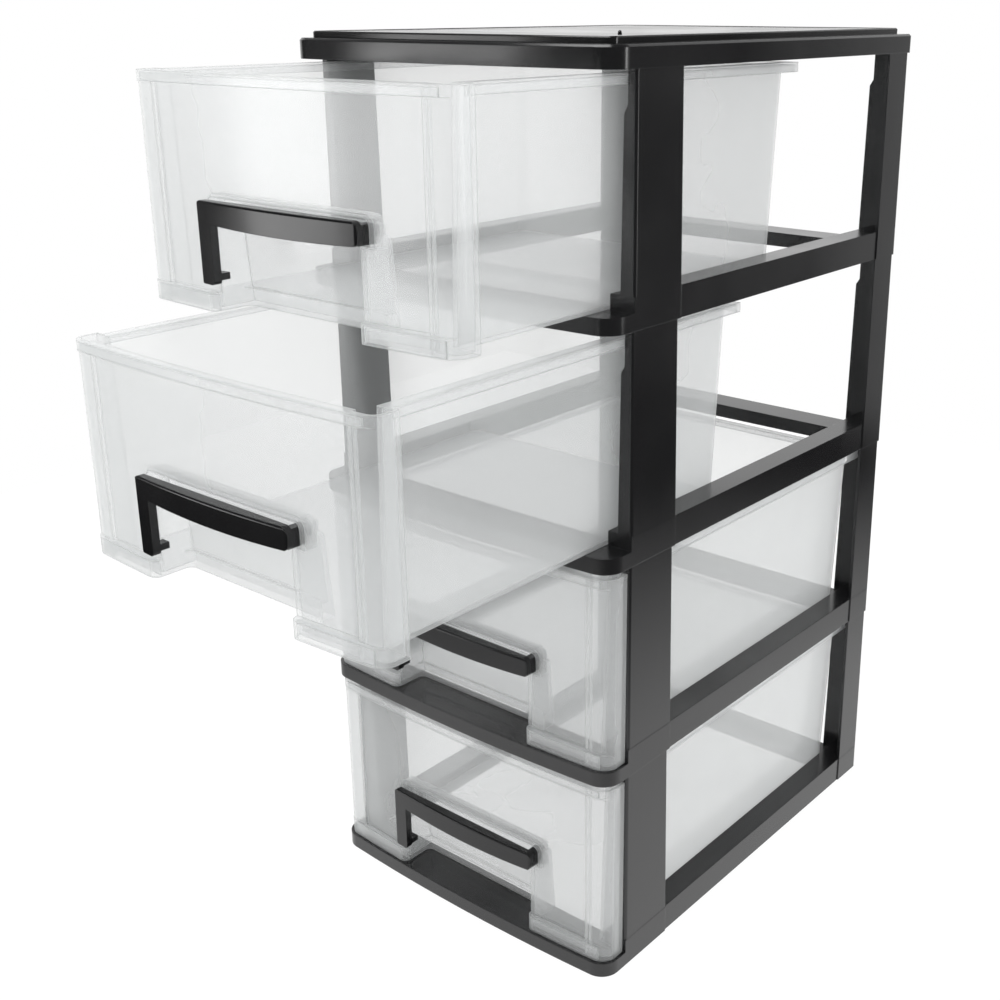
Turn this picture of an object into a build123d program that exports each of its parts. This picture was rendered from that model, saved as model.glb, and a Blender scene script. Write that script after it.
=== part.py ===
from build123d import *
from math import sqrt
import os

# Four-tier drawer tower. Millimetres, +Z up. The origin is the middle of the tower's footprint on the
# floor: X runs across the front, -Y is the front, Z = 0 is the floor. Tier 1 is the lowest.

# ---- driving dimensions -------------------------------------------------------------------------
TIERS = 4
TIER_H = 150.0            # floor of one tier to floor of the next
WIDTH = 263.0             # over the side plates of a frame
BACK_Y = 178.0            # rear face of a frame
FRONT_Y = -178.0          # front corners of a frame, before the bow
BOW = 5.0                 # how far the middle of the front stands out past its corners
FRONT_R = 14.0            # plan radius of the front corners
BACK_R = 3.0              # plan radius of the back corners
WALL = 2.2                # moulded wall of the frames
OPENINGS = (0.0, 0.0, 187.0, 128.0)   # how far each drawer is pulled out, from tier 1 upwards

# frame ring
RAIL_H = 20.4             # side rails
CROSS_H = 10.6            # front tray and back rail
RAIL_W = 18.2             # width of a side rail, outer face to inner face
RAIL_RECESS = 0.8         # the rails' outer faces lie this far behind the posts
TRAY_BACK_Y = -148.0      # rear edge of the front tray
BACK_RAIL_W = 26.0
TRAY_BEAD = 1.6           # bead along the tray's front edge
TRAY_DIP = 0.8            # depth of the tray's shallow floor behind the bead
OPENING_R = 8.0           # plan radius in the corners of the ring's opening
RIB_T = 1.4               # stiffening ribs under the ring
RIBS_PER_RAIL = 3

# corner posts
FLANGE_FRONT_Y = -156.0   # front face of the front posts
FRONT_PLATE_TOP = 45.0    # depth of a front post's side plate at its top
FRONT_PLATE_FLARE = 2.5   # and how much deeper it is at the bottom
FRONT_FLANGE_TOP = 6.9    # inward width of a front flange above its notch
FRONT_FLANGE_FLARE = 1.6
REAR_PLATE = 30.0
REAR_FLANGE_TOP = 26.2
REAR_FLANGE_FLARE = 1.8
POST_T = 2.4
POST_DRAFT = 0.8          # the post's outer faces draw in by this much at the top
NOTCH_DROP = 22.0         # the rim notch starts this far below the next tier
NOTCH_DEPTH = 2.4         # the flanges are this much narrower above the notch
NOTCH_SLOPE = 4.0
POST_CORNER_R = 2.0
TONGUE_T = 1.4            # tongue that plugs into the ring above
TONGUE_H = 6.0
FIT = 0.3                 # clearance between parts that seat together
RUN_GAP = 0.7             # clearance at each side of a drawer, to the rails and to the posts' flanges

# top cover
COVER_SKIRT = 13.0
COVER_LAP = 2.3           # how far the skirt hangs past the post tops
COVER_WALL = 1.4
COVER_PLATE = 2.2
COVER_RIM_INSET = 8.5
COVER_RIM_T = 2.6
COVER_RIM_H = 4.2
COVER_EDGE = 1.4          # bevel round the cover's top edge
COVER_RIM_EDGE = 0.8      # and along its rim

# drawers
DRAWER_WALL = 1.8
FLOOR_T = 1.8
BODY_DRAFT = 4.4          # how much narrower each side wall is at the floor than at the rim
BODY_BACK_TOP = 155.0     # rear wall at the rim
BODY_BACK_DRAFT = 2.2
RIM_HEADROOM = 4.5        # rim to the ring above
RIM_LIP = 6.3
RIM_T = 1.6
RIM_BACK = 3.4            # overhang of the rim past the rear wall
FACE_SIDE_SET = 2.1       # face portion behind the frame's outer side
FACE_BACK_GAP = 1.0       # face portion to the front posts
FACE_SET = 5.4            # front wall behind the line of the lip
PILASTER_OUT = 3.0        # pilasters stand this far in front of the front wall
PILASTER_W = 19.0
FACE_R = 8.0
LIP_R = 12.0              # plan radius of the rim's and the lip's front corners
LIP_SET = 2.2             # drawer lip behind the ring's front edge
SKIRT_H = 11.0            # height of the lip along the drawer's foot

# finger pocket
POCKET_HALF = 61.0
POCKET_BACK_Y = -150.0
POCKET_LEAN = 5.0         # how far the pocket's back leans forward by the height of its roof
POCKET_ROOF_R = 4.0       # curve from the pocket's back into its roof
POCKET_RISER = 6.5        # height of each step in the roof
POCKET_STEP = 4.0         # the foot lip stands this far in front of the pocket's back
POCKET_R = 5.0
POCKET_WALL = 1.8
MOUTH_R = 5.0             # plan radius where the foot lip turns into the pocket
SEAT_BACK_Y = -164.0      # rear of the hood that the handle's bar clips into
SEAT_R = 4.5              # radius over the hood's ends and along its rear edge
SEAT_GAP = 0.8            # hood to the handle

# handles
HANDLE_LAP = 6.0          # how far the bar reaches past the pocket at each end
HANDLE_TOP = 76.0
HANDLE_BAR_H = 13.0
HANDLE_FRONT_Y = -185.4   # middle of the bar's front face
HANDLE_DEPTH = 7.4
HANDLE_BOW = 3.0
HANDLE_BELLY = 1.2        # how much deeper the bar is in its middle
HANDLE_LEG_IN = 6.6       # how far the leg reaches over the pocket
HANDLE_LEG_FOOT = 28.0
HANDLE_FOOT_T = 4.0
HANDLE_FOOT_REACH = 6.0
HANDLE_WALL = 2.2
HANDLE_EDGE = 1.4         # rounding along the bar's top and at its ends
HANDLE_END_R = 4.0        # radius of the bar's upper corners
HANDLE_LOW_R = 2.4        # radius of its other corners
PLUG_W = 5.4              # plug at the bar's free end, which snaps into the hood
PLUG_BACK_Y = -168.0
PLUG_HOOK_H = 5.4

HALF = WIDTH / 2
EPS = 0.01
FAR = 1000.0


def block(x0, x1, y0, y1, z0, z1):
    """A box between two corners."""
    centre = ((x0 + x1) / 2, (y0 + y1) / 2, (z0 + z1) / 2)
    return Pos(*centre) * Box(x1 - x0, y1 - y0, z1 - z0)


def mirrored(shape):
    """A shape and its mirror image across the tower's middle."""
    return [shape, mirror(shape, about=Plane.YZ)]


def plan(half, back, front, bow, front_r, back_r=0.0):
    """Plan outline with a bowed front, centred on X."""
    edges = [
        Line((-half, back), (-half, front)),
        ThreePointArc((-half, front), (0, front - bow), (half, front)),
        Line((half, front), (half, back)),
        Line((half, back), (-half, back)),
    ]
    face = make_face(edges)
    corners = face.vertices().sort_by(Axis.Y)
    face = fillet(corners[:2], front_r)
    if back_r > 0:
        face = fillet(face.vertices().sort_by(Axis.Y)[-2:], back_r)
    return Sketch() + face


def slab(sketch, z0, z1):
    """A plan outline extruded between two heights."""
    return Pos(0, 0, z0) * extrude(sketch, z1 - z0)


# ---- frame module ---------------------------------------------------------------------------------
def frame_plan(offset=0.0):
    return plan(HALF + offset, BACK_Y + offset, FRONT_Y - offset, BOW, FRONT_R + offset, BACK_R + offset)


def rounded_opening(x_half, y0, y1, r):
    """Plan of a rounded rectangular opening."""
    return Pos(0, (y0 + y1) / 2) * RectangleRounded(2 * x_half, y1 - y0, r)


def ring():
    """The bottom ring: side rails, front tray and back rail, hollow from below."""
    inner_x = HALF - RAIL_W
    inner_back = BACK_Y - BACK_RAIL_W
    body = slab(frame_plan(), 0, RAIL_H)
    # the tray and the back rail are lower than the side rails
    body -= block(-FAR, FAR, -FAR, FLANGE_FRONT_Y, CROSS_H, FAR)
    body -= block(-inner_x, inner_x, -FAR, FAR, CROSS_H, FAR)
    opening = rounded_opening(inner_x, TRAY_BACK_Y, inner_back, OPENING_R)
    body -= slab(opening, -1, FAR)
    # rails lie behind the posts' faces between the posts
    rail_front = FLANGE_FRONT_Y + FRONT_PLATE_TOP + FRONT_PLATE_FLARE
    rail_back = BACK_Y - REAR_PLATE
    for side in mirrored(block(HALF - RAIL_RECESS, HALF + 1, rail_front, rail_back, -1, FAR)):
        body -= side
    # hollow from below
    for side in mirrored(block(inner_x + WALL, HALF - RAIL_RECESS - WALL, FLANGE_FRONT_Y + WALL,
                               BACK_Y - POST_T - WALL, -1, RAIL_H - WALL)):
        body -= side
    tray_hollow = plan(HALF - WALL, FLANGE_FRONT_Y - EPS, FRONT_Y + WALL, BOW, FRONT_R - WALL)
    body -= slab(tray_hollow, -1, CROSS_H - WALL)
    body -= block(-inner_x + WALL, inner_x - WALL, FLANGE_FRONT_Y - 1, TRAY_BACK_Y - WALL, -1, CROSS_H - WALL)
    body -= block(-inner_x + WALL, inner_x - WALL, inner_back + WALL, BACK_Y - WALL, -1, CROSS_H - WALL)
    body -= tray_dip()
    for rib in ribs():
        body += rib
    return body


def tray_dip():
    """The shallow floor of the front tray, behind its edge bead."""
    reach = POCKET_HALF + PILASTER_W
    dip = plan(reach, TRAY_BACK_Y - TRAY_BEAD * 2, FRONT_Y + TRAY_BEAD, BOW - TRAY_BEAD, POCKET_R)
    return slab(dip, CROSS_H - TRAY_DIP, CROSS_H + 1)


def ribs():
    """Cross ribs inside the side rails, the tray and the back rail."""
    inner_x = HALF - RAIL_W
    y0 = FLANGE_FRONT_Y + FRONT_PLATE_TOP
    y1 = BACK_Y - REAR_PLATE
    pitch = (y1 - y0) / (RIBS_PER_RAIL + 1)
    out = []
    for i in range(RIBS_PER_RAIL):
        y = y0 + (i + 1) * pitch
        rib = block(inner_x + WALL / 2, HALF - RAIL_RECESS - WALL / 2, y - RIB_T / 2, y + RIB_T / 2,
                    CROSS_H, RAIL_H - WALL / 2)
        out += mirrored(rib)
    span = 2 * inner_x / (RIBS_PER_RAIL + 1)
    for i in range(RIBS_PER_RAIL):
        x = -inner_x + (i + 1) * span
        front = block(x - RIB_T / 2, x + RIB_T / 2, FRONT_Y + WALL / 2, TRAY_BACK_Y - WALL / 2,
                      CROSS_H / 2, CROSS_H - TRAY_DIP - WALL / 2)
        back = block(x - RIB_T / 2, x + RIB_T / 2, BACK_Y - BACK_RAIL_W + WALL / 2, BACK_Y - WALL / 2,
                     CROSS_H / 2, CROSS_H - WALL / 2)
        out += [front, back]
    return out


def angle_section(outer_x, face_y, plate_end_y, flange, inward):
    """L-shaped plan of a post: a side plate along Y and a flange along X. inward is the Y side of the L."""
    points = [
        (outer_x, face_y),
        (outer_x, plate_end_y),
        (outer_x - POST_T, plate_end_y),
        (outer_x - POST_T, face_y + inward * POST_T),
        (outer_x - flange, face_y + inward * POST_T),
        (outer_x - flange, face_y),
    ]
    return make_face(Polyline(*points, close=True))


def post(front):
    """One right-hand post, drawn from the floor of the ring to the ring above."""
    if front:
        face_y, inward = FLANGE_FRONT_Y, 1
        plate, flare = FRONT_PLATE_TOP, FRONT_PLATE_FLARE
        flange, flange_flare = FRONT_FLANGE_TOP + NOTCH_DEPTH, FRONT_FLANGE_FLARE
    else:
        face_y, inward = BACK_Y, -1
        plate, flare = REAR_PLATE, 0.0
        flange, flange_flare = REAR_FLANGE_TOP + NOTCH_DEPTH, REAR_FLANGE_FLARE
    # at the top the outer faces draw in, at the bottom the plate and flange are wider
    draw_y = 0.0 if front else POST_DRAFT
    foot = angle_section(HALF, face_y, face_y + inward * (plate + flare), flange + flange_flare, inward)
    head = angle_section(HALF - POST_DRAFT, face_y - draw_y, face_y + inward * plate,
                         flange - POST_DRAFT, inward)
    body = loft([Sketch() + foot, Pos(0, 0, TIER_H) * (Sketch() + head)])
    corner = body.edges().filter_by(lambda e: e.length > TIER_H - EPS).sort_by(
        lambda e: -e.center().X - inward * -e.center().Y)[0]
    body = fillet(corner, POST_CORNER_R)
    return body - notch(face_y, flange)


def notch(face_y, flange):
    """What is cut from a flange's inner edge, so that a drawer's rim passes."""
    z0 = TIER_H - NOTCH_DROP
    x0 = 0.0
    x1 = HALF - flange + NOTCH_DEPTH
    side = [(x0, z0 - NOTCH_SLOPE), (x1 - NOTCH_DEPTH - EPS, z0 - NOTCH_SLOPE), (x1, z0), (x1, TIER_H + 1),
            (x0, TIER_H + 1)]
    outline = make_face(Polyline(*side, close=True))
    cutter = extrude(Plane.XZ * (Sketch() + outline), 2 * POST_T, both=True)
    return Pos(0, face_y, 0) * cutter


def tongue(front):
    """The tongue on a post's head that plugs into the hollow corner of the ring above."""
    x1 = HALF - RAIL_RECESS - WALL - FIT
    if front:
        y0 = FLANGE_FRONT_Y + POST_T + FIT
        y1 = FLANGE_FRONT_Y + FRONT_PLATE_TOP - WALL
    else:
        y0 = BACK_Y - REAR_PLATE + WALL
        y1 = BACK_Y - POST_T - WALL - FIT
    blade = block(x1 - TONGUE_T, x1, y0, y1, TIER_H - TONGUE_H, TIER_H + TONGUE_H)
    # a short foot ties the tongue to the post below the seam
    tie = block(x1 - TONGUE_T, HALF - POST_DRAFT - POST_T / 2, y0, y1, TIER_H - TONGUE_H, TIER_H - FIT)
    return blade + tie


def frame_module():
    """One tier's frame: the ring, its four posts and their tongues."""
    body = ring()
    for front in (True, False):
        for part in mirrored(post(front)) + mirrored(tongue(front)):
            body += part
    return body


# ---- top cover ------------------------------------------------------------------------------------
def cover():
    """The top cover, hollow below, with a raised rim round a shallow top."""
    z0 = TIERS * TIER_H - COVER_LAP
    z1 = z0 + COVER_SKIRT
    grow = COVER_WALL + FIT - POST_DRAFT
    body = slab(frame_plan(grow), z0, z1)
    body = chamfer(body.edges().group_by(Axis.Z)[-1], COVER_EDGE)
    body -= slab(frame_plan(grow - COVER_WALL), z0 - 1, z1 - COVER_PLATE)
    outer = slab(frame_plan(grow - COVER_RIM_INSET), z1 - EPS, z1 + COVER_RIM_H)
    outer = chamfer(outer.edges().group_by(Axis.Z)[-1], COVER_RIM_EDGE)
    outer -= slab(frame_plan(grow - COVER_RIM_INSET - COVER_RIM_T), z1 - 1, z1 + COVER_RIM_H + 1)
    body += outer
    for front in (True, False):
        for seat in mirrored(cover_seat(front, z1 - COVER_PLATE / 2)):
            body += seat
    return body


def cover_seat(front, top):
    """L-shaped rib under the cover that stands on a post's head."""
    inward = 1 if front else -1
    face_y = FLANGE_FRONT_Y if front else BACK_Y - POST_DRAFT
    plate = FRONT_PLATE_TOP if front else REAR_PLATE
    flange = FRONT_FLANGE_TOP if front else REAR_FLANGE_TOP
    section = angle_section(HALF - POST_DRAFT, face_y, face_y + inward * plate, flange - POST_DRAFT, inward)
    return slab(Sketch() + section, TIERS * TIER_H, top)


# ---- drawer ---------------------------------------------------------------------------------------
FOOT_Z = CROSS_H + FIT                       # underside of a drawer
RIM_Z = TIER_H - RIM_HEADROOM                # top of its rim
BODY_HALF = HALF - RAIL_W - RUN_GAP + BODY_DRAFT
RIM_HALF = HALF - FRONT_FLANGE_TOP - RUN_GAP
FACE_HALF = HALF - FACE_SIDE_SET
FACE_BACK = FLANGE_FRONT_Y - FACE_BACK_GAP
LIP_FRONT = FRONT_Y + LIP_SET
WALL_FRONT = LIP_FRONT + FACE_SET
PILASTER_FRONT = WALL_FRONT - PILASTER_OUT
HANDLE_HALF = POCKET_HALF + HANDLE_LAP
SEAT_TOP = HANDLE_TOP + SEAT_GAP                              # underside of the hood
SEAT_LOW = HANDLE_TOP - HANDLE_BAR_H - SEAT_GAP


def body_block(inset, z0, z1):
    """The drawer's drafted box behind its face, drawn in by a wall thickness."""
    rise = RIM_Z - FOOT_Z
    sections = []
    for z in (z0, z1):
        low = (RIM_Z - z) / rise
        half = BODY_HALF - BODY_DRAFT * low - inset
        back = BODY_BACK_TOP - BODY_BACK_DRAFT * low - inset
        front = FACE_BACK - DRAWER_WALL
        face = Pos(0, (back + front) / 2) * Rectangle(2 * half, back - front)
        sections.append(Pos(0, 0, z) * fillet(face.vertices().sort_by(Axis.Y)[-2:], OPENING_R - inset))
    return loft(sections)


def face_plan(inset):
    """Plan of the face portion: a bowed front wall between two pilasters."""
    half = FACE_HALF - inset
    wall = plan(half, FACE_BACK - inset, WALL_FRONT + inset, BOW, FACE_R - inset)
    columns = plan(half, FACE_BACK - inset, PILASTER_FRONT + inset, BOW, FACE_R - inset)
    column_inner = FACE_HALF - PILASTER_W + inset
    middle = Pos(0, PILASTER_FRONT) * Rectangle(2 * column_inner, PILASTER_W * 2)
    return wall + (columns - middle)


def flange_tray(sketch, inner, z0, z1):
    """A flange with a drop lip: a top plate and an outer skirt."""
    return slab(sketch, z0, z1) - slab(inner, z0 - 1, z1 - RIM_T)


def rim_plan(inset):
    """Plan of the rim all round the drawer's top."""
    front = plan(FACE_HALF - inset, FACE_BACK - inset, LIP_FRONT + inset, BOW, LIP_R - inset)
    half = RIM_HALF - inset
    back = BODY_BACK_TOP + RIM_BACK - inset
    rear = Pos(0, (back + FACE_BACK - FACE_R) / 2) * Rectangle(2 * half, back - FACE_BACK + FACE_R)
    return front + rear


def lip_plan(inset):
    """Plan of the lip along the drawer's foot; it turns inwards at the pocket's mouth."""
    front = plan(FACE_HALF - inset, FACE_BACK - inset, LIP_FRONT + inset, BOW, LIP_R - inset)
    return front - mouth_plan(inset)


def mouth_plan(grow):
    """Plan of the pocket at the drawer's foot, grown by a wall, with its front corners rounded outwards."""
    half = POCKET_HALF + grow
    back = POCKET_BACK_Y - POCKET_STEP + grow
    front = 2 * FRONT_Y
    outline = Pos(0, (front + back) / 2) * Rectangle(2 * half, back - front)
    outline = fillet(outline.vertices().sort_by(Axis.Y)[-2:], POCKET_R)
    turn_x = POCKET_HALF + MOUTH_R
    # the lip's front line at the turn
    turn_y = LIP_FRONT - BOW * (1 - (turn_x / FACE_HALF) ** 2) + MOUTH_R
    for side in (-1, 1):
        flare = Pos(side * (half + turn_x) / 2, (front + turn_y) / 2) * Rectangle(turn_x - half, turn_y - front)
        outline += flare - Pos(side * turn_x, turn_y) * Circle(MOUTH_R - grow)
    return outline


def pocket(grow):
    """The finger pocket as a solid, grown by a wall: a leaning back, a stepped roof and the handle's hood."""
    mouth = HANDLE_FRONT_Y - HANDLE_DEPTH
    back = POCKET_BACK_Y + grow
    spring = SEAT_TOP - 2 * POCKET_RISER - POCKET_ROOF_R
    riser = POCKET_BACK_Y - POCKET_LEAN - POCKET_ROOF_R + grow
    roof = SEAT_TOP - 2 * POCKET_RISER + grow
    step = SEAT_TOP - POCKET_RISER + grow
    turn = sqrt(0.5)
    crown = (riser + turn * POCKET_ROOF_R, spring + turn * (roof - spring))
    edges = [
        Line((mouth, -1), (back, -1)),
        Line((back, -1), (back - POCKET_LEAN, spring)),
        ThreePointArc((back - POCKET_LEAN, spring), crown, (riser, roof)),
        Line((riser, roof), (riser, step)),
        Line((riser, step), (mouth, step)),
        Line((mouth, step), (mouth, -1)),
    ]
    profile = Sketch() + make_face(edges)
    solid = extrude(Plane.YZ * profile, POCKET_HALF + grow, both=True)
    upright = solid.edges().filter_by(lambda e: e.length > spring).group_by(Axis.Y)[-1]
    return fillet(upright, POCKET_R + grow) + hood(grow, mouth)


def hood(grow, mouth):
    """The raised part of the pocket's roof, wide enough for the handle's bar."""
    half = HANDLE_HALF + SEAT_GAP + grow
    low = SEAT_LOW - grow
    top = SEAT_TOP + grow
    front = Pos(0, (low + top) / 2) * Rectangle(2 * half, top - low)
    front = fillet(front.vertices().sort_by(Axis.Y)[-2:], SEAT_R + grow)
    solid = extrude(Plane.XZ * front, -mouth)
    solid -= block(-FAR, FAR, SEAT_BACK_Y + grow, 0, -FAR, FAR)
    rear = solid.edges().group_by(Axis.Y)[-1].sort_by(Axis.Z)[-1]
    return chamfer(rear, SEAT_R / 2)


def drawer():
    """One drawer, in its closed place in tier 1."""
    outer_face = slab(face_plan(0), FOOT_Z, RIM_Z)
    shell = body_block(0, FOOT_Z, RIM_Z) + outer_face
    shell += flange_tray(rim_plan(0), rim_plan(RIM_T), RIM_Z - RIM_LIP, RIM_Z)
    shell += flange_tray(lip_plan(0), lip_plan(RIM_T), FOOT_Z, FOOT_Z + SKIRT_H)
    cavity = body_block(DRAWER_WALL, FOOT_Z + FLOOR_T, RIM_Z + 1)
    cavity += slab(face_plan(DRAWER_WALL), FOOT_Z + FLOOR_T, RIM_Z + 1)
    cavity += mouth_gap()
    shell -= cavity
    # finger pocket: its wall is added inside the front, then the pocket is cut out
    room = slab(face_plan(0), FOOT_Z, RIM_Z) + block(-BODY_HALF, BODY_HALF, FACE_BACK - DRAWER_WALL,
                                                    TRAY_BACK_Y + 2 * POCKET_STEP, FOOT_Z, RIM_Z)
    shell += pocket(POCKET_WALL) & room
    skirt_top = FOOT_Z + SKIRT_H
    hollow = pocket(0) - block(-FAR, FAR, -FAR, FAR, -FAR, skirt_top)
    hollow += slab(mouth_plan(0), 0, skirt_top)
    return shell - hollow


def mouth_gap():
    """Joins the cavity of the face portion to the drawer's box behind it."""
    half = BODY_HALF - BODY_DRAFT - DRAWER_WALL
    return block(-half, half, FACE_BACK - 2 * DRAWER_WALL, FACE_BACK + DRAWER_WALL, FOOT_Z + FLOOR_T, RIM_Z + 1)


# ---- handle ---------------------------------------------------------------------------------------
def bar_plan(inset):
    """Plan of the handle's bar: a bowed front and a straight back."""
    half = HANDLE_HALF - inset
    front = HANDLE_FRONT_Y + HANDLE_BOW + inset
    back = HANDLE_FRONT_Y + HANDLE_DEPTH
    edges = [
        Line((-half, back), (-half, front)),
        ThreePointArc((-half, front), (0, front - HANDLE_BOW), (half, front)),
        Line((half, front), (half, back)),
        Line((half, back), (-half, back)),
    ]
    return Sketch() + make_face(edges)


def handle_front(inset):
    """Front outline of the handle: the bar with a leg at its left end, with rounded corners."""
    half = HANDLE_HALF - inset
    top = HANDLE_TOP - inset
    low = HANDLE_TOP - HANDLE_BAR_H + inset
    foot = HANDLE_LEG_FOOT + inset
    leg_inner = -POCKET_HALF + HANDLE_LEG_IN - inset
    edges = [
        Line((-half, top), (-half, foot)),
        Line((-half, foot), (leg_inner, foot)),
        Line((leg_inner, foot), (leg_inner, low)),
        ThreePointArc((leg_inner, low), ((leg_inner + half) / 2, low - HANDLE_BELLY), (half, low)),
        Line((half, low), (half, top)),
        Line((half, top), (-half, top)),
    ]
    face = make_face(edges)
    if HANDLE_END_R > inset:
        face = fillet(face.vertices().sort_by(Axis.Y)[-2:], HANDLE_END_R - inset)
    if inset > 0:
        return face
    face = fillet(face.vertices().sort_by(lambda v: v.X - v.Y)[-1], HANDLE_LOW_R)
    return fillet(face.vertices().sort_by(Axis.Y)[:2], HANDLE_LOW_R)


def handle_solid(inset, edge=0.0):
    """The handle's outline, as deep as the bar's plan, with its top and end edges rounded."""
    plank = slab(bar_plan(inset), 0, HANDLE_TOP - inset)
    if edge > 0:
        front = plank.edges().filter_by(lambda e: e.center().Y < HANDLE_FRONT_Y + HANDLE_BOW + EPS)
        plank = fillet(front.filter_by(lambda e: e.center().Z > EPS), edge)
    return plank & extrude(Plane.XZ * (Sketch() + handle_front(inset)), 2 * HANDLE_FRONT_Y, both=True)


def handle():
    """Bar and left leg in one moulding, open at the back, with a plug at the free end and a hook at the foot."""
    back = HANDLE_FRONT_Y + HANDLE_DEPTH
    body = handle_solid(0, HANDLE_EDGE) - handle_solid(HANDLE_WALL)
    leg_inner = -POCKET_HALF + HANDLE_LEG_IN
    hook = block(-POCKET_HALF + FIT, leg_inner, back - HANDLE_WALL, back + HANDLE_FOOT_REACH,
                 HANDLE_LEG_FOOT + HANDLE_LOW_R, HANDLE_LEG_FOOT + HANDLE_LOW_R + HANDLE_FOOT_T)
    low = HANDLE_TOP - HANDLE_BAR_H
    plug_end = HANDLE_HALF - HANDLE_WALL / 2
    plug = block(plug_end - PLUG_W, plug_end, back - HANDLE_WALL, PLUG_BACK_Y, low, HANDLE_TOP - HANDLE_WALL)
    middle = (low + HANDLE_TOP) / 2
    snap = block(plug_end - PLUG_W, plug_end, PLUG_BACK_Y - EPS, SEAT_BACK_Y - FIT,
                 middle - PLUG_HOOK_H / 2, middle + PLUG_HOOK_H / 2)
    return body + hook + plug + snap


# ---- the tower --------------------------------------------------------------------------------------
def save(shape, name):
    os.makedirs("parts", exist_ok=True)
    export_step(shape, "parts/" + name + ".step")


def main():
    frame = frame_module()
    box = drawer()
    grip = handle()
    for tier in range(TIERS):
        lift = tier * TIER_H
        number = str(tier + 1)
        out = -OPENINGS[tier]
        save(Pos(0, 0, lift) * frame, "tier_" + number + "_frame")
        save(Pos(0, out, lift) * box, "tier_" + number + "_drawer")
        save(Pos(0, out, lift) * grip, "tier_" + number + "_handle")
    save(cover(), "top_cover")


main()
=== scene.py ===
"""Looks for the four-tier drawer tower: white studio, camera, and a finish for each moulding."""
import math

import bmesh
import bpy
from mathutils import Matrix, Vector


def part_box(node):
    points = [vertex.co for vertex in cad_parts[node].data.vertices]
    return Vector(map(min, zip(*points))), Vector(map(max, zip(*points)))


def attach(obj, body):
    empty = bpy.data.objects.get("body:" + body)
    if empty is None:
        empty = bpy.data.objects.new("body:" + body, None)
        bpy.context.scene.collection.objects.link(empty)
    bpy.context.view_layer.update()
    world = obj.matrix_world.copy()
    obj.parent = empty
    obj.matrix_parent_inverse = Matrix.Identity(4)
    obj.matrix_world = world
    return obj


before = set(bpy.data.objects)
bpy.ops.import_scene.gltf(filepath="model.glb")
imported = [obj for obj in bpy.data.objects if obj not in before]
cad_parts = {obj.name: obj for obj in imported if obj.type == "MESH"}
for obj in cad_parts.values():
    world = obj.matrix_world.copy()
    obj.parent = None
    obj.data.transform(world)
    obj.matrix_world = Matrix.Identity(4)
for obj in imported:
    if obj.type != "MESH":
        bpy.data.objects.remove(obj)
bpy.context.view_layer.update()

TIERS = ("tier_1", "tier_2", "tier_3", "tier_4")
TOWER = "tower"             # the body that stands still
MM = 0.001


# ---- colours and nodes --------------------------------------------------------------------------
def linear(hex_colour):
    """An sRGB hex colour as linear RGBA."""
    channels = [int(hex_colour[i:i + 2], 16) / 255 for i in (1, 3, 5)]
    return (*(c / 12.92 if c <= 0.04045 else ((c + 0.055) / 1.055) ** 2.4 for c in channels), 1.0)


def add_node(tree, kind, sockets=None, **settings):
    """Adds a node. Each socket given gets a value, or a link from a (node, output) pair."""
    node = tree.nodes.new(kind)
    for name, value in settings.items():
        setattr(node, name, value)
    for socket, value in (sockets or {}).items():
        if isinstance(value, tuple) and isinstance(value[0], bpy.types.Node):
            tree.links.new(value[0].outputs[value[1]], node.inputs[socket])
        else:
            node.inputs[socket].default_value = value
    return node


def noise_scale(size_mm):
    """The noise scale for a pattern of this size: Object coordinates are in metres."""
    return 1000 / size_mm


def new_material(name):
    """A material with an empty node tree."""
    material = bpy.data.materials.new(name)
    material.use_nodes = True
    material.node_tree.nodes.clear()
    return material, material.node_tree


# ---- finishes -----------------------------------------------------------------------------------
PP_IOR = 1.49               # polypropylene
WIPED_PATCH_MM = 71.43      # handling leaves patches that shine a little more or less
GRAIN_DEPTH = 0.2 * MM
FLOW_CLOUD_MM = 111.1       # the melt's flow clouds a clear moulding unevenly
RIPPLE_MM = 16.667          # a thin wall is never quite flat
RIPPLE_DEPTH = 0.4 * MM


def moulded_black(name, colour, roughness, grain_mm, grain_height, specular=0.5, edge_mm=0.7):
    """Injection-moulded black polypropylene: dense pigment, the mould's grain and softened edges.

    The mould's real grain is about 0.1 mm. That is too fine to show, so grain_mm is coarser.
    """
    material, tree = new_material(name)
    place = add_node(tree, "ShaderNodeTexCoord")
    grain = add_node(tree, "ShaderNodeTexNoise",
                     {"Vector": (place, "Object"), "Scale": noise_scale(grain_mm), "Detail": 2.0})
    wiped = add_node(tree, "ShaderNodeTexNoise",
                     {"Vector": (place, "Object"), "Scale": noise_scale(WIPED_PATCH_MM),
                      "Detail": 3.0})
    rough = add_node(tree, "ShaderNodeMapRange",
                     {"Value": (wiped, "Fac"), "From Min": 0.3, "From Max": 0.7,
                      "To Min": roughness - 0.04, "To Max": roughness + 0.05})
    rounded = add_node(tree, "ShaderNodeBevel", {"Radius": edge_mm / 1000}, samples=4)
    bump = add_node(tree, "ShaderNodeBump",
                    {"Height": (grain, "Fac"), "Normal": (rounded, "Normal"),
                     "Strength": grain_height, "Distance": GRAIN_DEPTH})
    shader = add_node(tree, "ShaderNodeBsdfPrincipled",
                      {"Base Color": linear(colour), "Roughness": (rough, "Result"),
                       "IOR": PP_IOR, "Specular IOR Level": specular, "Normal": (bump, "Normal")})
    add_node(tree, "ShaderNodeOutputMaterial", {"Surface": (shader, "BSDF")})
    return material


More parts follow.
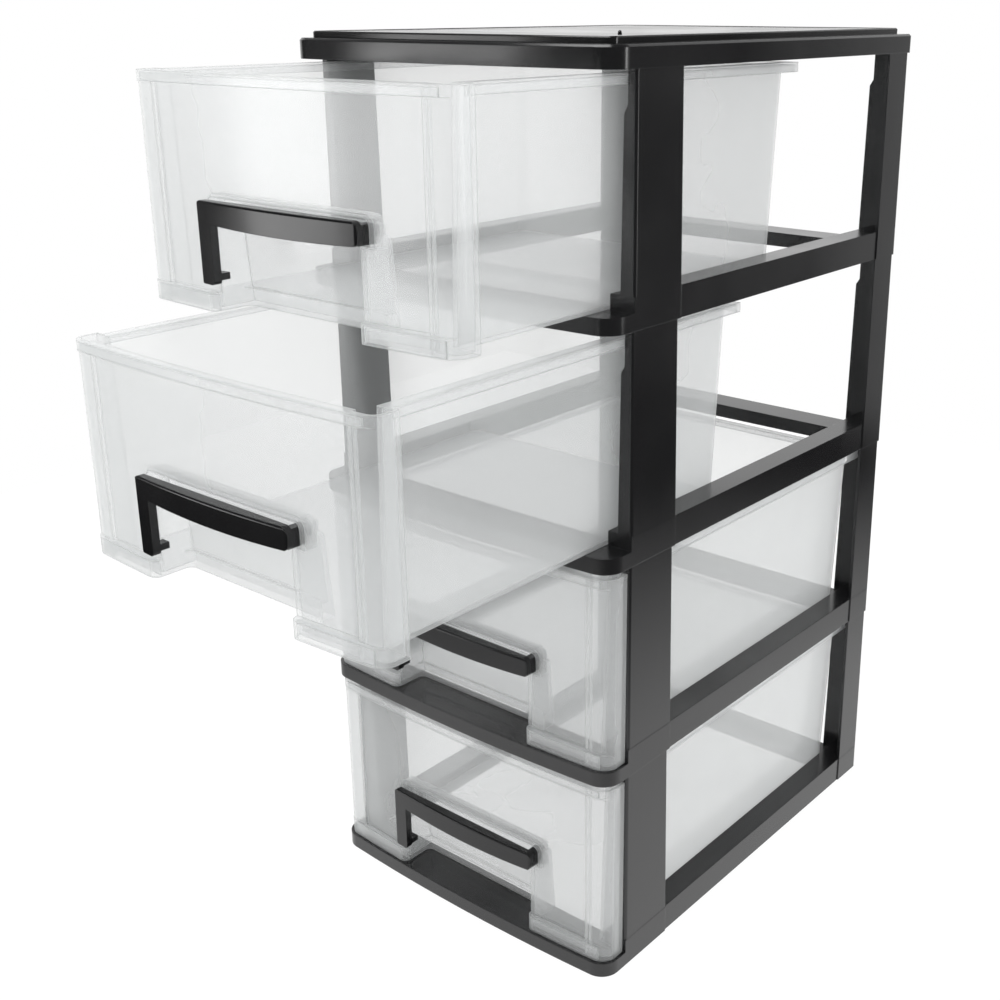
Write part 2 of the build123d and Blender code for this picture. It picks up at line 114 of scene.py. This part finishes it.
def milky_clear(name, colour, haze, slanted_haze, roughness, edge_mm):
    """Natural polypropylene, moulded thin: see-through, with a haze that whitens at a slant."""
    material, tree = new_material(name)
    place = add_node(tree, "ShaderNodeTexCoord")
    side = add_node(tree, "ShaderNodeNewGeometry")
    rounded = add_node(tree, "ShaderNodeBevel", {"Radius": edge_mm / 1000}, samples=3)
    ripple = add_node(tree, "ShaderNodeTexNoise",
                      {"Vector": (place, "Object"), "Scale": noise_scale(RIPPLE_MM),
                       "Detail": 1.0})
    bump = add_node(tree, "ShaderNodeBump",
                    {"Height": (ripple, "Fac"), "Normal": (rounded, "Normal"),
                     "Strength": 0.05, "Distance": RIPPLE_DEPTH})

    # how near a moulded edge is: 0 on a flat wall, 1 on the edge itself
    turn = add_node(tree, "ShaderNodeVectorMath",
                    {0: (rounded, "Normal"), 1: (side, "Normal")}, operation="DOT_PRODUCT")
    edge = add_node(tree, "ShaderNodeMapRange",
                    {"Value": (turn, "Value"), "From Min": 1.0, "From Max": 0.72,
                     "To Min": 0.0, "To Max": 1.0})

    # how much white the wall shows: more at a slant, clouded by the flow, and brightest on an edge,
    # where the extra white is a painted highlight
    facing = add_node(tree, "ShaderNodeLayerWeight", {"Blend": 0.5})
    slant = add_node(tree, "ShaderNodeMapRange",
                     {"Value": (facing, "Facing"), "From Min": 0.35, "From Max": 1.0,
                      "To Min": haze, "To Max": slanted_haze})
    flow = add_node(tree, "ShaderNodeTexNoise",
                    {"Vector": (place, "Object"), "Scale": noise_scale(FLOW_CLOUD_MM),
                     "Detail": 3.0})
    cloud = add_node(tree, "ShaderNodeMapRange",
                     {"Value": (flow, "Fac"), "From Min": 0.25, "From Max": 0.75,
                      "To Min": 0.94, "To Max": 1.06})
    wall_white = add_node(tree, "ShaderNodeMath", {0: (slant, "Result"), 1: (cloud, "Result")},
                          operation="MULTIPLY")
    # painted highlight: the edge mask adds white haze along each moulded edge
    painted_edge_highlight = add_node(tree, "ShaderNodeMapRange",
                     {"Value": (edge, "Result"), "From Min": 0.45, "From Max": 0.95,
                      "To Min": 0.0, "To Max": 0.4})
    white = add_node(tree, "ShaderNodeMath", {0: (wall_white, "Value"), 1: (painted_edge_highlight, "Result")},
                     operation="ADD")

    # painted shade: the see-through colour is darkened beside each edge, a thin dark line standing
    # in for the light that the bend refracts away
    painted_edge_shade = add_node(tree, "ShaderNodeMapRange",
                         {"Value": (edge, "Result"), "From Min": 0.0, "From Max": 0.5,
                          "To Min": 1.0, "To Max": 0.8})
    clear = add_node(tree, "ShaderNodeBsdfTransparent", {"Color": (painted_edge_shade, "Result")})
    front_lit = add_node(tree, "ShaderNodeBsdfDiffuse",
                         {"Color": linear(colour), "Normal": (bump, "Normal")})
    back_lit = add_node(tree, "ShaderNodeBsdfTranslucent", {"Color": linear(colour)})
    milk = add_node(tree, "ShaderNodeMixShader", {0: 0.5, 1: (front_lit, 0), 2: (back_lit, 0)})
    wall = add_node(tree, "ShaderNodeMixShader", {0: (white, "Value"), 1: (clear, 0), 2: (milk, 0)})

    # the same mirror share from both sides of the thin wall, dulled by its surface
    index = add_node(tree, "ShaderNodeMapRange",
                     {"Value": (side, "Backfacing"), "From Min": 0.0, "From Max": 1.0,
                      "To Min": PP_IOR, "To Max": 1 / PP_IOR})
    fresnel = add_node(tree, "ShaderNodeFresnel", {"IOR": (index, "Result")})
    mirror = add_node(tree, "ShaderNodeMath", {0: (fresnel, "Fac"), 1: 0.6}, operation="MULTIPLY")
    gloss = add_node(tree, "ShaderNodeBsdfAnisotropic",
                     {"Roughness": roughness, "Normal": (bump, "Normal")})
    skin = add_node(tree, "ShaderNodeMixShader",
                    {0: (mirror, "Value"), 1: (wall, 0), 2: (gloss, 0)})
    add_node(tree, "ShaderNodeOutputMaterial", {"Surface": (skin, 0)})
    return material


# satin: the studio shows as broad soft bands, which bend where the surface was wiped
FRAME_PP = moulded_black("polypropylene_black_satin", "#181819", roughness=0.2,
                         grain_mm=0.9, grain_height=0.06, specular=0.7)
# smoother: the top mirrors the white backdrop, bright at the back and dark in front
COVER_PP = moulded_black("polypropylene_black_smooth", "#171718", roughness=0.16,
                         grain_mm=1.4, grain_height=0.04, specular=0.7)
# the deepest black, with a thin highlight along the bar's rounded edges
HANDLE_PP = moulded_black("polypropylene_black_polished", "#131314", roughness=0.2,
                          grain_mm=1.4, grain_height=0.04, edge_mm=0.5)
# thin and milky: things behind show through, each wall adds white, and the edges carry fine lines
# of painted highlight and painted shade
DRAWER_PP = milky_clear("polypropylene_natural_clear", "#f6f8f8", haze=0.23, slanted_haze=0.5,
                        roughness=0.16, edge_mm=1.3)


def finish_node(name, material):
    """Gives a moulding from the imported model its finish."""
    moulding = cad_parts[name]
    if not moulding.material_slots:
        moulding.data.materials.append(material)
    for slot in moulding.material_slots:
        slot.material = material


for tier in TIERS:
    finish_node(tier + "_frame", FRAME_PP)
    finish_node(tier + "_drawer", DRAWER_PP)
    finish_node(tier + "_handle", HANDLE_PP)
finish_node("top_cover", COVER_PP)


# ---- the cover's dished top ---------------------------------------------------------------------
COVER_LOW, COVER_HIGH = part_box("top_cover")
RIM_TOP = COVER_HIGH[2]
RIM_INSET = 11.1 * MM       # from the cover's side to the inside of its rim
FRONT_BOW = 5.0 * MM        # how far the rim's front runs out in its middle
RIM_CORNER = 3.8 * MM       # how much the rim's corners are rounded
PANEL_BELOW_RIM = 0.3 * MM  # the panel's edge lies this far below the rim
DISH_DROP = 3.1 * MM        # and its middle this much lower
TRAY_FLOOR = RIM_TOP - 4.2 * MM
PANEL_CLEARANCE = 0.05 * MM
PANEL_COLUMNS, PANEL_ROWS = 30, 40
PIP_HEIGHT = 2.8 * MM
PIP_FOOT_R = 1.6 * MM
PIP_TOP_R = 1.1 * MM


def new_piece(name, bm, material, body=TOWER):
    """A finished mesh as a smooth-shaded object that rides on a body."""
    bmesh.ops.recalc_face_normals(bm, faces=bm.faces)
    mesh = bpy.data.meshes.new(name)
    bm.to_mesh(mesh)
    bm.free()
    for polygon in mesh.polygons:
        polygon.use_smooth = True
    mesh.materials.append(material)
    piece = bpy.data.objects.new(name, mesh)
    bpy.context.scene.collection.objects.link(piece)
    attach(piece, body)


def dished_panel():
    """The top inside the rim sinks towards its middle, which turns its far half to the light."""
    half = COVER_HIGH[0] - RIM_INSET
    back = COVER_HIGH[1] - RIM_INSET
    front = COVER_LOW[1] + RIM_INSET + FRONT_BOW
    bm = bmesh.new()
    grid = []
    for j in range(PANEL_ROWS + 1):
        v = -1 + 2 * j / PANEL_ROWS
        row = []
        for i in range(PANEL_COLUMNS + 1):
            u = -1 + 2 * i / PANEL_COLUMNS
            x = u * half
            bowed_front = front - FRONT_BOW * (1 - u * u)
            y = bowed_front + (back - bowed_front) * (v + 1) / 2
            z = RIM_TOP - PANEL_BELOW_RIM - DISH_DROP * (1 - u * u) * (1 - v * v)
            # only the corners, where |u| + |v| nears 2, are pulled in
            pull = max(0.0, abs(u) + abs(v) - 1.9) * RIM_CORNER
            row.append(bm.verts.new((x - math.copysign(pull, x), y - math.copysign(pull, v), z)))
        grid.append(row)
    for near, far in zip(grid, grid[1:]):
        for i in range(PANEL_COLUMNS):
            bm.faces.new((near[i], near[i + 1], far[i + 1], far[i]))
    # the edge goes down to the tray's floor, and the underside closes the panel
    outline = [e for e in bm.edges if len(e.link_faces) == 1]
    skirt = bmesh.ops.extrude_edge_only(bm, edges=outline)["geom"]
    for foot in (g for g in skirt if isinstance(g, bmesh.types.BMVert)):
        foot.co.z = TRAY_FLOOR + PANEL_CLEARANCE
    bmesh.ops.contextual_create(bm, geom=[e for e in bm.edges if len(e.link_faces) == 1])
    new_piece("top_cover_dished_panel", bm, COVER_PP)


def gate_pip():
    """The stub that the moulding gate leaves in the middle of the cover."""
    bm = bmesh.new()
    bmesh.ops.create_cone(bm, cap_ends=True, segments=16, radius1=PIP_FOOT_R, radius2=PIP_TOP_R,
                          depth=PIP_HEIGHT)
    top = [e for e in bm.edges if all(v.co.z > 0 for v in e.verts)]
    bmesh.ops.bevel(bm, geom=top, offset=0.4 * MM, segments=2, affect="EDGES")
    foot = RIM_TOP - PANEL_BELOW_RIM - DISH_DROP
    bmesh.ops.translate(bm, verts=bm.verts, vec=(0, 0, foot + PIP_HEIGHT / 2))
    new_piece("top_cover_gate_pip", bm, COVER_PP)


dished_panel()
gate_pip()


# ---- studio -------------------------------------------------------------------------------------
FLOOR_HALF = 1.1
TOWER_MIDDLE = (0.0, 0.0, 0.3)
LAMPS = (                   # name, place, width and height in metres, power in watts
    ("softbox_front_left", (-1.38, -1.6, 0.28), 0.62, 0.62, 4.6),
    ("softbox_overhead", (-0.3, -0.3, 2.2), 1.1, 1.1, 16.0),
    ("strip_light_right", (1.84, 0.9, 0.5), 0.3, 0.9, 4.5),
)


def studio_floor():
    """A white sheet under the tower. The lens sees it white, with a faint contact shadow on it."""
    mesh = bpy.data.meshes.new("studio_floor")
    corners = [(x * FLOOR_HALF, y * FLOOR_HALF, 0) for x, y in ((-1, -1), (1, -1), (1, 1), (-1, 1))]
    mesh.from_pydata(corners, [], [(0, 1, 2, 3)])
    floor = bpy.data.objects.new("studio_floor", mesh)
    bpy.context.scene.collection.objects.link(floor)

    material, tree = new_material("white_paper_sheet")
    path = add_node(tree, "ShaderNodeLightPath")
    seen = add_node(tree, "ShaderNodeMath",
                    {0: (path, "Is Camera Ray"), 1: (path, "Is Transmission Ray")},
                    operation="MAXIMUM")
    paper = add_node(tree, "ShaderNodeBsdfDiffuse", {"Color": linear("#f4f4f4"), "Roughness": 0.5})
    glow = add_node(tree, "ShaderNodeEmission", {"Strength": 1.05})
    lit = add_node(tree, "ShaderNodeMixShader", {0: 0.9, 1: (paper, 0), 2: (glow, 0)})
    # a painted pool of light: mirrored in the black plastic, the sheet glows bright by the tower
    # and fades into the dark room
    place = add_node(tree, "ShaderNodeTexCoord")
    oval = add_node(tree, "ShaderNodeVectorMath", {0: (place, "Object"), 1: (1.0, 0.62, 1.0)},
                    operation="MULTIPLY")
    distance = add_node(tree, "ShaderNodeVectorMath", {0: (oval, "Vector")}, operation="LENGTH")
    fade = add_node(tree, "ShaderNodeMapRange",
                    {"Value": (distance, "Value"), "From Min": 0.32, "From Max": 0.75,
                     "To Min": 1.0, "To Max": 0.0})
    painted_light_pool = add_node(tree, "ShaderNodeEmission", {"Strength": (fade, "Result")})
    mirrored = add_node(tree, "ShaderNodeMixShader",
                        {0: (path, "Is Glossy Ray"), 1: (paper, 0), 2: (painted_light_pool, 0)})
    sheet = add_node(tree, "ShaderNodeMixShader",
                     {0: (seen, "Value"), 1: (mirrored, 0), 2: (lit, 0)})
    add_node(tree, "ShaderNodeOutputMaterial", {"Surface": (sheet, 0)})
    mesh.materials.append(material)


def studio_world():
    """White beyond the floor for the lens, soft room light, and a backdrop for mirror views."""
    world = bpy.data.worlds.new("studio")
    bpy.context.scene.world = world
    world.use_nodes = True
    tree = world.node_tree
    tree.nodes.clear()
    white = (1.0, 1.0, 1.0, 1.0)
    path = add_node(tree, "ShaderNodeLightPath")
    seen = add_node(tree, "ShaderNodeMath",
                    {0: (path, "Is Camera Ray"), 1: (path, "Is Transmission Ray")},
                    operation="MAXIMUM")
    room = add_node(tree, "ShaderNodeBackground", {"Color": white, "Strength": 1.0})
    beyond = add_node(tree, "ShaderNodeBackground", {"Color": white, "Strength": 1.0})

    # the backdrop stands behind, from the far left round to a little right of straight back
    direction = add_node(tree, "ShaderNodeTexCoord")
    axes = add_node(tree, "ShaderNodeSeparateXYZ", {"Vector": (direction, "Generated")})
    lean = add_node(tree, "ShaderNodeMath", {0: (axes, "X"), 1: -0.75}, operation="MULTIPLY")
    along = add_node(tree, "ShaderNodeMath", {0: (axes, "Y"), 1: (lean, "Value")}, operation="ADD")
    behind = add_node(tree, "ShaderNodeMapRange",
                      {"Value": (along, "Value"), "From Min": 0.48, "From Max": 0.74,
                       "To Min": 0.0, "To Max": 1.0})
    height = add_node(tree, "ShaderNodeMapRange",
                      {"Value": (axes, "Z"), "From Min": 0.4, "From Max": 0.65,
                       "To Min": 1.0, "To Max": 0.35})
    backdrop = add_node(tree, "ShaderNodeMath", {0: (behind, "Result"), 1: (height, "Result")},
                        operation="MULTIPLY")
    level = add_node(tree, "ShaderNodeMath", {0: (backdrop, "Value"), 1: 0.06}, operation="ADD")
    mirror_view = add_node(tree, "ShaderNodeBackground",
                           {"Color": white, "Strength": (level, "Value")})

    mirrored = add_node(tree, "ShaderNodeMixShader",
                        {0: (path, "Is Glossy Ray"), 1: (room, 0), 2: (mirror_view, 0)})
    sky = add_node(tree, "ShaderNodeMixShader",
                   {0: (seen, "Value"), 1: (mirrored, 0), 2: (beyond, 0)})
    add_node(tree, "ShaderNodeOutputWorld", {"Surface": (sky, 0)})


def softbox(name, place, width, height, power):
    """A rectangular lamp that faces the middle of the tower."""
    lamp = bpy.data.lights.new(name, "AREA")
    lamp.shape = "RECTANGLE"
    lamp.size = width
    lamp.size_y = height
    lamp.energy = power
    stand = bpy.data.objects.new(name, lamp)
    stand.location = place
    dx, dy, dz = (t - p for t, p in zip(TOWER_MIDDLE, place))
    tilt = math.atan2(dz, math.hypot(dx, dy))
    stand.rotation_euler = (math.pi / 2 + tilt, 0, math.atan2(-dx, dy))
    bpy.context.scene.collection.objects.link(stand)


def photograph_camera():
    """The photograph's view: from the front right, a little above the cover."""
    camera = bpy.data.cameras.new("photograph_camera")
    camera.sensor_width = 36.0
    camera.lens = 48.354
    camera.shift_x = -0.0758
    camera.shift_y = -0.0278
    camera.clip_end = 20.0
    tripod = bpy.data.objects.new("photograph_camera", camera)
    tripod.location = (0.5887, -0.7758, 0.6312)
    tripod.rotation_euler = (math.radians(70.785), 0, math.radians(38.977))
    bpy.context.scene.collection.objects.link(tripod)
    bpy.context.scene.camera = tripod


studio_floor()
studio_world()
for lamp_settings in LAMPS:
    softbox(*lamp_settings)
photograph_camera()
bpy.context.scene.view_settings.view_transform = "Standard"
